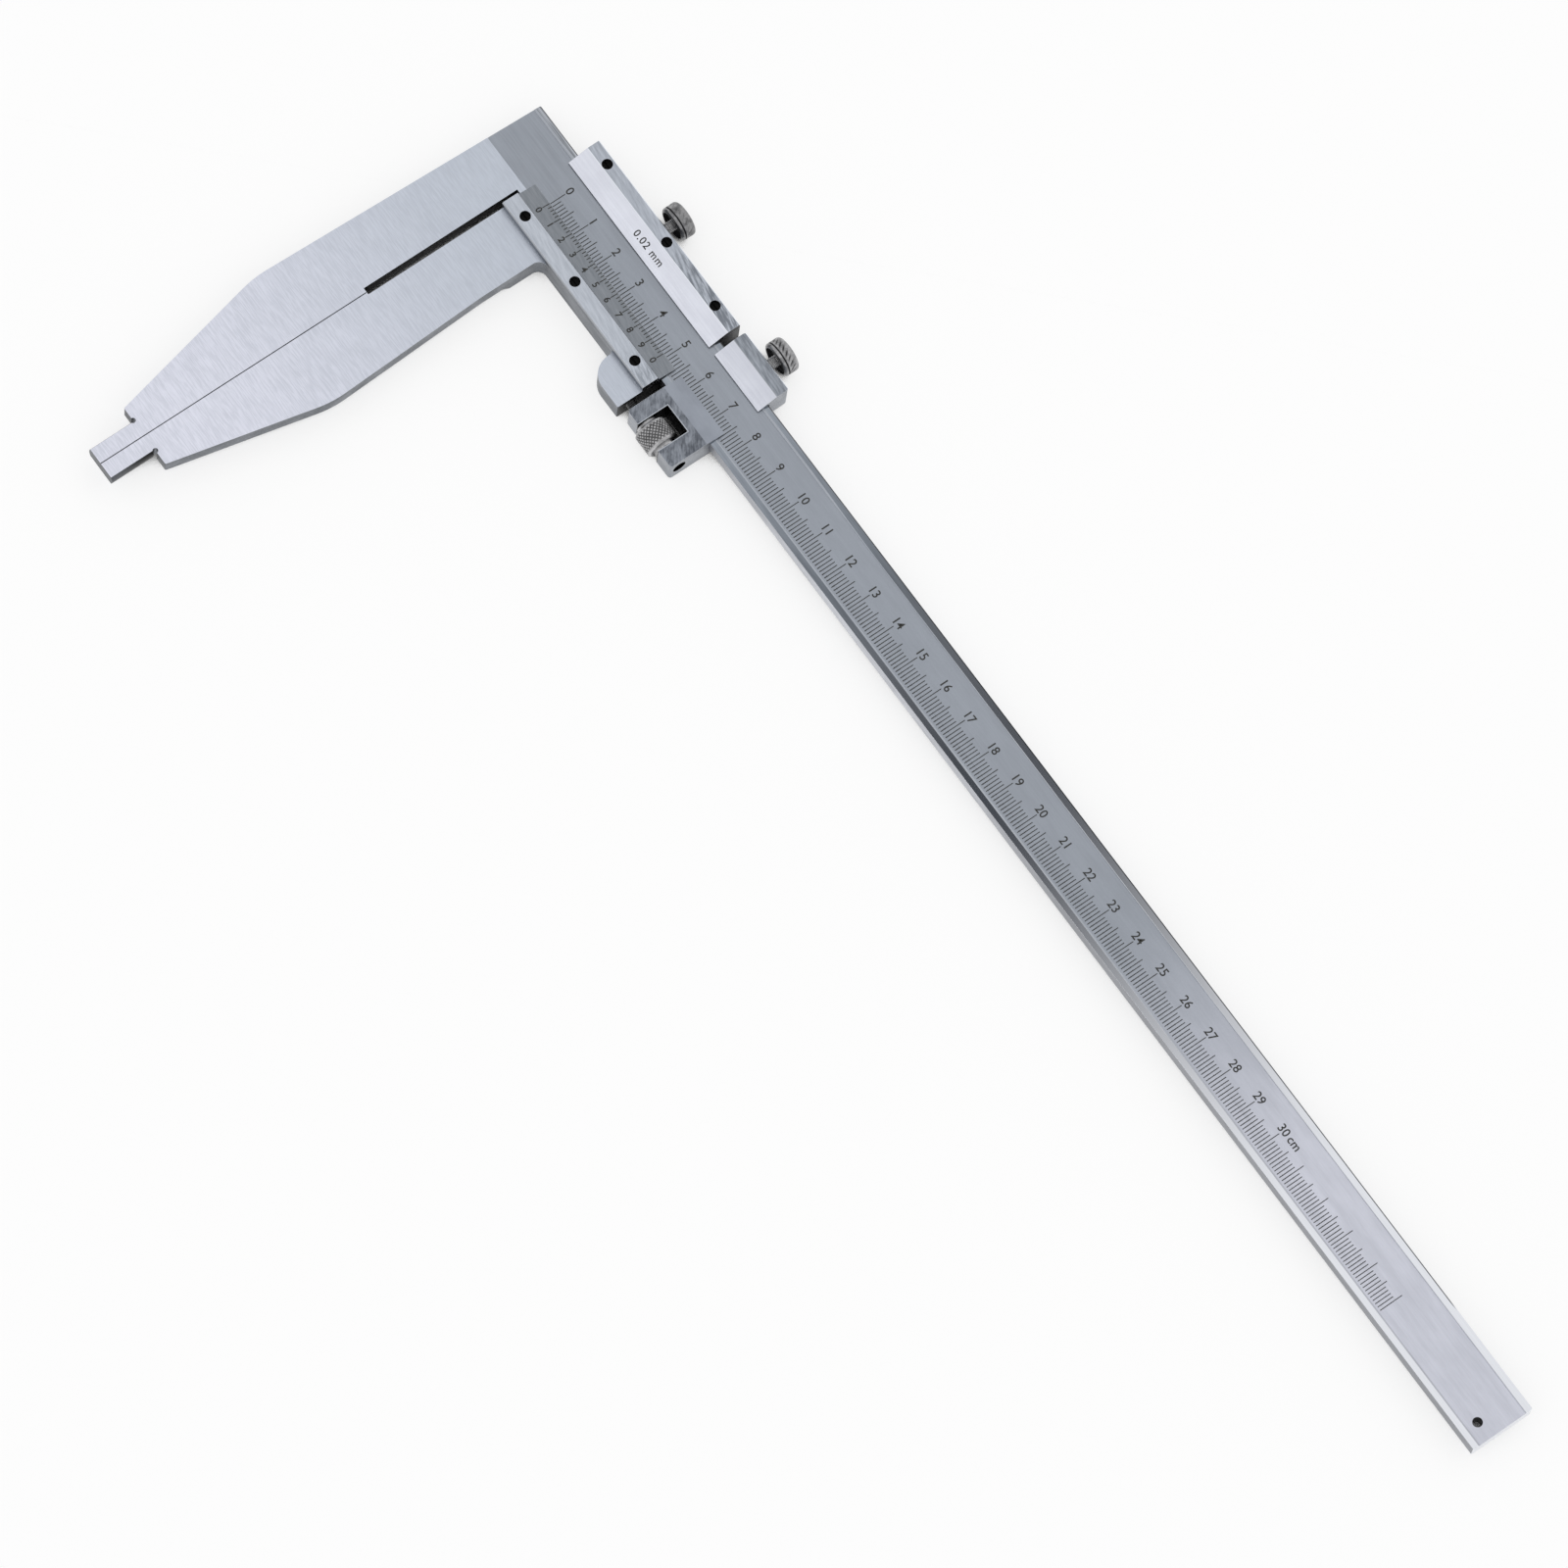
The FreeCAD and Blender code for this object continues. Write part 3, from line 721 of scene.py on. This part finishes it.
# Pieces
def addPiece(name, shape, body, finish, replaced=(), smoothBelow=30.0):
    for edge in shape.edges:
        edge.smooth = len(edge.link_faces) == 2 and edge.calc_face_angle() < math.radians(smoothBelow)
    for face in shape.faces:
        face.smooth = True
    mesh = bpy.data.meshes.new(name)
    shape.to_mesh(mesh)
    shape.free()
    mesh.materials.append(finishes[finish])
    piece = bpy.data.objects.new(name, mesh)
    bpy.context.scene.collection.objects.link(piece)
    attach(piece, body)
    if replaced:
        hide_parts(*replaced)
    return piece


def dressNode(node, finish):
    materials = nodes[node].data.materials
    materials.clear()
    materials.append(finishes[finish])


def breakEdges(node, finish, width, sharpAbove=35.0, smoothBelow=20.0):  # both in degrees
    shape = bmesh.new()
    shape.from_mesh(nodes[node].data)
    bmesh.ops.remove_doubles(shape, verts=shape.verts, dist=sameVertex * mm)
    bmesh.ops.dissolve_limit(shape, angle_limit=math.radians(sameFace), verts=shape.verts,
                             edges=shape.edges)
    sharp = [e for e in shape.edges
             if len(e.link_faces) == 2 and e.calc_face_angle() > math.radians(sharpAbove)]
    bmesh.ops.bevel(shape, geom=sharp, offset=width * mm, offset_type="OFFSET", segments=2, profile=0.5,
                    affect="EDGES", material=-1, clamp_overlap=True)
    piece = addPiece(node + "_dressed", shape, bodyOfNode[node], finish, [node],
                     smoothBelow)
    weights = piece.modifiers.new("weights", "WEIGHTED_NORMAL")
    weights.keep_sharp = True
    return piece


edgeSettings = {  # the finish of each piece and the width of its broken edges
    "main_beam": ("beam", 0.12),
    "slider_body": ("slider", 0.14),
    "upper_guide_plate": ("guide", 0.12),
    "lower_guide_rail": ("rail", 0.12),
    "vernier_plate": ("vernier", 0.06),
    "carriage_body": ("carriage", 0.2),
}
for node, (finish, width) in edgeSettings.items():
    breakEdges(node, finish, width)
for node, finish in {
    "upper_plate_screws": "black",
    "lower_rail_screws": "black",
    "slider_leaf_spring": "spring",
    "carriage_leaf_spring": "spring",
    "slider_clamp_shoe": "brass",
    "carriage_clamp_shoe": "brass",
    "fine_screw_pin": "thread",
}.items():
    dressNode(node, finish)
print("edges broken on", len(edgeSettings), "pieces")


# Graduations and numbers
markSettings = {
    "zero": 6.5,
    "divisions": 350,
    "tickStart": 2.5,
    "tickEnds": {10: 9.2, 5: 8.3, 1: 7.2},
    "tickWidth": 0.22,
    "relief": 0.06,
    "numbers": 31,
    "numberMiddle": 10.6,
    "numberHeight": 2.3,
    "unit": "cm",
    "unitGap": 4.2,
    "vernierDivisions": 50,
    "vernierStep": 0.98,
    "vernierTop": 4.35,
    "vernierWidth": 0.23,
    "vernierEnds": {5: 2.2, 1: 3.2},
    "vernierMiddle": 1.0,
    "vernierHeight": 1.8,
    "reading": "0.02 mm",
    "readingStart": 25.0,
    "readingMiddle": 17.5,
    "readingHeight": 2.0,
    "readingSpacing": 1.14,
    "capital": 0.7,  # how much of the type size a capital fills
    "curveSteps": 3,
    "bolder": 0.03,
    "vernierBolder": 0.05,
}


def slopeMatrix(start, end):  # a frame whose y runs up a slope from start to end, given as (y, z)
    angle = math.atan2(end[1] - start[1], end[0] - start[0])
    return Matrix.Translation((0, start[0], start[1])) @ Matrix.Rotation(angle, 4, "X"), angle


def addTick(shape, place, x, low, high, width, relief):
    block = Matrix.Translation((x, (low + high) / 2, 0)) @ Matrix.Diagonal((width, high - low, relief, 1))
    bmesh.ops.create_cube(shape, size=1, matrix=place @ block)


def addText(shape, place, text, x, middle, height, settings, align="CENTER", spacing=1.0, bolder="bolder"):
    curve = bpy.data.curves.new("label", "FONT")
    curve.body = text
    curve.size = height / settings["capital"]
    curve.align_x = align
    curve.align_y = "CENTER"
    curve.extrude = settings["relief"] / 2
    curve.offset = settings[bolder]
    curve.space_character = spacing
    curve.resolution_u = settings["curveSteps"]
    label = bpy.data.objects.new("label", curve)
    bpy.context.scene.collection.objects.link(label)
    bpy.context.view_layer.update()
    mesh = bpy.data.meshes.new_from_object(label.evaluated_get(bpy.context.evaluated_depsgraph_get()))
    bpy.data.objects.remove(label)
    mesh.transform(place @ Matrix.Translation((x, middle, 0)))
    shape.from_mesh(mesh)
    bpy.data.meshes.remove(mesh)


def finishMarks(name, shape, body):
    bmesh.ops.remove_doubles(shape, verts=shape.verts, dist=sameVertex)
    bmesh.ops.recalc_face_normals(shape, faces=shape.faces)
    bmesh.ops.scale(shape, verts=shape.verts, vec=(mm, mm, mm))
    addPiece(name, shape, body, "ink", smoothBelow=10.0)


def markBeam(settings):
    face = Matrix.Translation((0, 0, beamTones["scaleFloor"]))
    ticks = bmesh.new()
    for number in range(settings["divisions"] + 1):
        step = next(s for s in settings["tickEnds"] if number % s == 0)
        addTick(ticks, face, settings["zero"] + number, settings["tickStart"], settings["tickEnds"][step],
                settings["tickWidth"], settings["relief"])
    finishMarks("beam_graduations", ticks, "beam")
    numbers = bmesh.new()
    for number in range(settings["numbers"]):
        addText(numbers, face, str(number), settings["zero"] + 10 * number, settings["numberMiddle"],
                settings["numberHeight"], settings)
    unitPlace = settings["zero"] + 10 * (settings["numbers"] - 1) + settings["unitGap"]
    addText(numbers, face, settings["unit"], unitPlace, settings["numberMiddle"],
            settings["numberHeight"], settings)
    finishMarks("beam_numbers", numbers, "beam")


def markVernier(settings):
    low, high = boxMm("vernier_plate")
    place, angle = slopeMatrix((railHigh.y, high.z), (high.y, low.z + plateForm["vernierLip"]))
    along = 1 / math.cos(angle)
    marks = bmesh.new()
    for number in range(settings["vernierDivisions"] + 1):
        step = next(s for s in settings["vernierEnds"] if number % s == 0)
        x = settings["zero"] + number * settings["vernierStep"]
        ends = [(y - railHigh.y) * along for y in (settings["vernierEnds"][step], settings["vernierTop"])]
        addTick(marks, place, x, *ends, settings["vernierWidth"], settings["relief"])
        if step == 5:
            middle = (settings["vernierMiddle"] - railHigh.y) * along
            addText(marks, place, str(number // 5 % 10), x, middle, settings["vernierHeight"], settings,
                    bolder="vernierBolder")
    finishMarks("vernier_graduations", marks, "slider")


def markBevel(settings):
    low, high = guideLow, guideHigh
    place, angle = slopeMatrix((low.y, low.z + plateForm["lip"]), (high.y - plateForm["flat"], high.z))
    marks = bmesh.new()
    middle = (settings["readingMiddle"] - low.y) / math.cos(angle)
    addText(marks, place, settings["reading"], settings["readingStart"], middle,
            settings["readingHeight"], settings, "LEFT", settings["readingSpacing"])
    finishMarks("reading_value", marks, "slider")


markBeam(markSettings)
markVernier(markSettings)
markBevel(markSettings)
print("graduations cut")


# Knurled pieces and threads
knurlTop = 0.62  # where the points of the knurl are flattened
turnedSmooth = 40.0  # edges that turn by less than this, in degrees, are shaded smooth


def triangleWave(turns):
    return abs(2 * (turns - math.floor(turns)) - 1)


def spinProfile(shape, profile, steps):  # profile is (distance along x, radius); the axis is x
    verts = [shape.verts.new((along, 0, radius)) for along, radius in profile]
    edges = [shape.edges.new(pair) for pair in zip(verts, verts[1:])]
    bmesh.ops.spin(shape, geom=verts + edges, cent=(0, 0, 0), axis=(1, 0, 0), dvec=(0, 0, 0),
                   angle=2 * math.pi, steps=steps, use_merge=True, use_duplicate=False)
    bmesh.ops.remove_doubles(shape, verts=shape.verts, dist=sameVertex)
    bmesh.ops.recalc_face_normals(shape, faces=shape.faces)


def knurl(shape, start, end, radius, teeth, depth, cross=1.0, dark=1.0):  # cross is the second set's depth
    groove = shape.verts.layers.float.new("groove")
    pitch = 2 * math.pi * radius / teeth
    for vert in shape.verts:
        along = vert.co.x
        off = math.hypot(vert.co.y, vert.co.z)
        if not start <= along <= end or off < radius * 0.99:
            continue
        around = math.atan2(vert.co.z, vert.co.y) / (2 * math.pi) * teeth
        shift = (along - start) / pitch
        second = 1 - cross * (1 - triangleWave(around - shift))
        height = min(triangleWave(around + shift), second, knurlTop) / knurlTop
        fade = max(0, min(1, 2 * (along - start) / pitch, 2 * (end - along) / pitch))
        # the groove value paints shade into the knurl's valleys
        vert[groove] = (1 - height) * fade * dark
        factor = 1 - depth * (1 - height) * fade / off
        vert.co.y *= factor
        vert.co.z *= factor


def darken(shape, start, end, radius, amount):  # painted shade in a hollow nearer the axis than radius
    groove = shape.verts.layers.float["groove"]
    for vert in shape.verts:
        if start <= vert.co.x <= end and math.hypot(vert.co.y, vert.co.z) < radius:
            vert[groove] = amount


def thread(shape, start, end, radius, pitch, depth, steps=20):  # a helical thread, cut square at both ends
    turns = math.ceil((end - start) / pitch) + 3
    first = start - 1.5 * pitch
    ridge = [(first, radius - depth), (first + pitch * 0.42, radius), (first + pitch * 0.55, radius),
             (first + pitch, radius - depth)]
    verts = [shape.verts.new((along, 0, height)) for along, height in ridge]
    edges = [shape.edges.new(pair) for pair in zip(verts, verts[1:])]
    bmesh.ops.spin(shape, geom=verts + edges, cent=(0, 0, 0), axis=(1, 0, 0),
                   dvec=(pitch / steps, 0, 0), angle=2 * math.pi * turns, steps=steps * turns,
                   use_merge=False, use_duplicate=False)
    bmesh.ops.remove_doubles(shape, verts=shape.verts, dist=sameThreadVertex)
    for along, side in ((start, -1), (end, 1)):
        cut = bmesh.ops.bisect_plane(shape, geom=shape.verts[:] + shape.edges[:] + shape.faces[:],
                                     plane_co=(along, 0, 0), plane_no=(side, 0, 0), clear_outer=True)
        rim = [e for e in cut["geom_cut"] if isinstance(e, bmesh.types.BMEdge)]
        bmesh.ops.contextual_create(shape, geom=rim)
    bmesh.ops.recalc_face_normals(shape, faces=shape.faces)


def placeTurned(shape, matrix):
    bmesh.ops.transform(shape, matrix=Matrix.Scale(mm, 4) @ matrix, verts=shape.verts)


clampSettings = {
    "teeth": 20,
    "samples": 10,
    "knurlDepth": 0.3,
    "cross": 0.55,
    "row": 0.13,
    "rim": 0.8,
    "ring": 0.16,
    "ringWidth": 0.5,
    "ringSlopes": (0.1, 0.15),
    "rimSteps": 4,
    "cupDepth": 0.9,
    "cupWall": 1.0,
    "cupChamfer": 0.3,
    "cupShade": 0.8,
    "dish": 0.35,
    "shank": 1.5,
    "threadPitch": 0.5,
    "threadDepth": 0.27,
    "head": 4.2,
}


def rimCurve(along, radius, size, end, steps):
    curve = []
    for step in range(steps + 1):
        angle = math.pi / 2 * step / steps
        curve.append((along - end * size * (1 - math.sin(angle)), radius - size * (1 - math.cos(angle))))
    return curve if end > 0 else curve[::-1]


def clampScrew(node, settings, wear, headFinish):  # wear flattens the knurl
    low, high = boxMm(node)
    middle = (low + high) / 2
    radius = (high.z - low.z) / 2
    length = high.y - low.y
    headStart = length - settings["head"]
    cupEnd = headStart + settings["cupDepth"]
    rim = settings["rim"]
    cup = radius - settings["cupWall"]
    chamfer = settings["cupChamfer"]
    dishStart = length - settings["dish"]
    ring = radius - settings["ring"]
    ringStart = headStart + rim
    first = ringStart + settings["ringWidth"]
    last = length - rim
    rows = round((last - first) / settings["row"])
    profile = [(cupEnd, 0), (cupEnd, cup - chamfer), (cupEnd - chamfer, cup), (headStart, cup)]
    profile += rimCurve(headStart, radius, rim, -1, settings["rimSteps"])
    slopeDown, slopeUp = settings["ringSlopes"]
    profile += [(ringStart + slopeDown, ring), (first - slopeUp, ring), (first, radius)]
    profile += [(first + (last - first) * row / rows, radius) for row in range(1, rows)]
    profile += rimCurve(length, radius, rim, 1, settings["rimSteps"])
    profile += [(length, cup), (dishStart, cup - chamfer), (dishStart, 0)]
    head = bmesh.new()
    spinProfile(head, profile, settings["teeth"] * settings["samples"])
    knurl(head, first, last, radius, settings["teeth"], settings["knurlDepth"] * (1 - wear),
          settings["cross"], 1 - wear)
    darken(head, ringStart, first, ring + 0.01, 1.0)
    darken(head, headStart, cupEnd, cup + 0.05, settings["cupShade"])
    rod = bmesh.new()
    thread(rod, 0, cupEnd, settings["shank"], settings["threadPitch"], settings["threadDepth"])
    # the turned axis lies along y, with the shank towards the beam
    place = Matrix.Translation((middle.x, low.y, middle.z)) @ Matrix.Rotation(math.pi / 2, 4, "Z")
    pieces = ((head, "_head", headFinish, [node]), (rod, "_shank", "thread", []))
    for shape, part, finish, replaced in pieces:
        placeTurned(shape, place)
        addPiece(node + part, shape, bodyOfNode[node], finish, replaced, turnedSmooth)


nutSettings = {
    "teeth": 26,
    "samples": 10,
    "knurlDepth": 0.25,
    "row": 0.11,
    "boss": 1.0,
    "bossRadius": 3.0,
    "bossChamfer": 0.15,
    "chamfer": 0.5,
    "bore": 1.55,
    "boreChamfer": 0.25,
}


def adjustNut(settings):
    node = "fine_adjust_nut"
    low, high = boxMm(node)
    middle = (low + high) / 2
    radius = (high.z - low.z) / 2
    length = high.x - low.x
    boss = settings["boss"]
    chamfer = settings["chamfer"]
    first = boss + chamfer
    last = length - boss - chamfer
    rows = round((last - first) / settings["row"])
    bore, boreChamfer = settings["bore"], settings["boreChamfer"]
    bossRadius, bossChamfer = settings["bossRadius"], settings["bossChamfer"]
    profile = [(boreChamfer, bore), (0, bore + boreChamfer), (0, bossRadius - bossChamfer),
               (bossChamfer, bossRadius), (boss, bossRadius), (boss, radius - chamfer)]
    profile += [(first + (last - first) * row / rows, radius) for row in range(rows + 1)]
    profile += [(length - along, height) for along, height in profile[:6][::-1]]
    profile.append(profile[0])
    shape = bmesh.new()
    spinProfile(shape, profile, settings["teeth"] * settings["samples"])
    knurl(shape, first, last, radius, settings["teeth"], settings["knurlDepth"])
    placeTurned(shape, Matrix.Translation((low.x, middle.y, middle.z)))
    addPiece(node + "_knurled", shape, bodyOfNode[node], "nut", [node], turnedSmooth)


rodSettings = {
    "threadPitch": 0.5,
    "threadDepth": 0.27,
}


def adjustScrew(settings):
    node = "fine_adjust_screw"
    low, high = boxMm(node)
    middle = (low + high) / 2
    shape = bmesh.new()
    radius = (high.z - low.z) / 2
    thread(shape, 0, high.x - low.x, radius, settings["threadPitch"], settings["threadDepth"])
    placeTurned(shape, Matrix.Translation((low.x, middle.y, middle.z)))
    addPiece(node + "_threaded", shape, bodyOfNode[node], "rod", [node], turnedSmooth)


clampScrew("slider_clamp_screw", clampSettings, 0.6, "wornHead")
clampScrew("carriage_clamp_screw", clampSettings, 0.0, "head")
adjustNut(nutSettings)
adjustScrew(rodSettings)
print("knurled and threaded pieces made")
